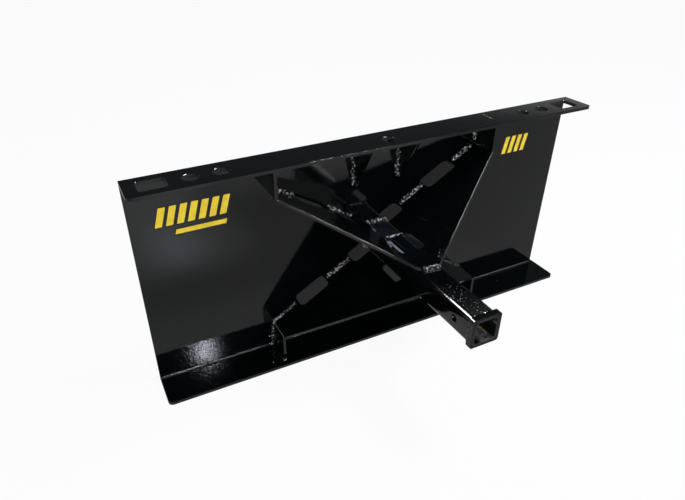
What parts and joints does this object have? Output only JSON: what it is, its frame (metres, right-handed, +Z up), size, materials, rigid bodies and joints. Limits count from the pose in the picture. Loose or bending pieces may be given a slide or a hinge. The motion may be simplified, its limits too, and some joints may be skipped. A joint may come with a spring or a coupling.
{
  "type": "receiver hitch plate",
  "caption": "Flanged steel face plate with a square receiver tube held by bent gussets, for mounting a ball mount or shank on a loader or tractor",
  "frame": {"origin": "Underside of the bottom flange, below the front of the face plate and halfway along the flanges", "axes": "+X along the flanges, -Y out of the face plate towards the mouth of the receiver tube, +Z up from the bottom flange to the top flange"},
  "size_m": [1.168, 0.4404, 0.529],
  "materials": {
    "black_powder_coat": "glossy black powder coat over cut plate and tube",
    "coated_weld": "rippled fillet weld under the same glossy black powder coat"
  },
  "bodies": {
    "root": {"bottom_flange": "black_powder_coat", "bottom_seam_weld_left": "coated_weld", "bottom_seam_weld_middle": "coated_weld", "bottom_seam_weld_right": "coated_weld", "collar_weld": "coated_weld", "face_plate": "black_powder_coat", "left_rib": "black_powder_coat", "left_rib_weld_head": "coated_weld", "left_rib_weld_root": "coated_weld", "lower_gusset": "black_powder_coat", "lower_gusset_rear_weld": "coated_weld", "lower_gusset_tip_weld": "coated_weld", "lower_left_leg_weld_foot": "coated_weld", "lower_left_leg_weld_root": "coated_weld", "lower_left_wing_weld_inner": "coated_weld", "lower_left_wing_weld_outer": "coated_weld", "lower_right_leg_weld_foot": "coated_weld", "lower_right_leg_weld_root": "coated_weld", "lower_right_wing_weld_inner": "coated_weld", "lower_right_wing_weld_outer": "coated_weld", "mouth_collar": "black_powder_coat", "receiver_tube": "black_powder_coat", "right_rib": "black_powder_coat", "right_rib_weld_head": "coated_weld", "right_rib_weld_root": "coated_weld", "top_flange": "black_powder_coat", "top_seam_weld_inner_left": "coated_weld", "top_seam_weld_inner_right": "coated_weld", "top_seam_weld_left": "coated_weld", "top_seam_weld_middle": "coated_weld", "top_seam_weld_right": "coated_weld", "tube_root_weld": "coated_weld", "upper_gusset": "black_powder_coat", "upper_gusset_rear_weld": "coated_weld", "upper_gusset_tip_weld": "coated_weld", "upper_left_leg_weld_head": "coated_weld", "upper_left_leg_weld_root": "coated_weld", "upper_left_wing_weld_inner": "coated_weld", "upper_left_wing_weld_outer": "coated_weld", "upper_right_leg_weld_head": "coated_weld", "upper_right_leg_weld_root": "coated_weld", "upper_right_wing_weld_inner": "coated_weld", "upper_right_wing_weld_outer": "coated_weld"}
  },
  "joints": []
}
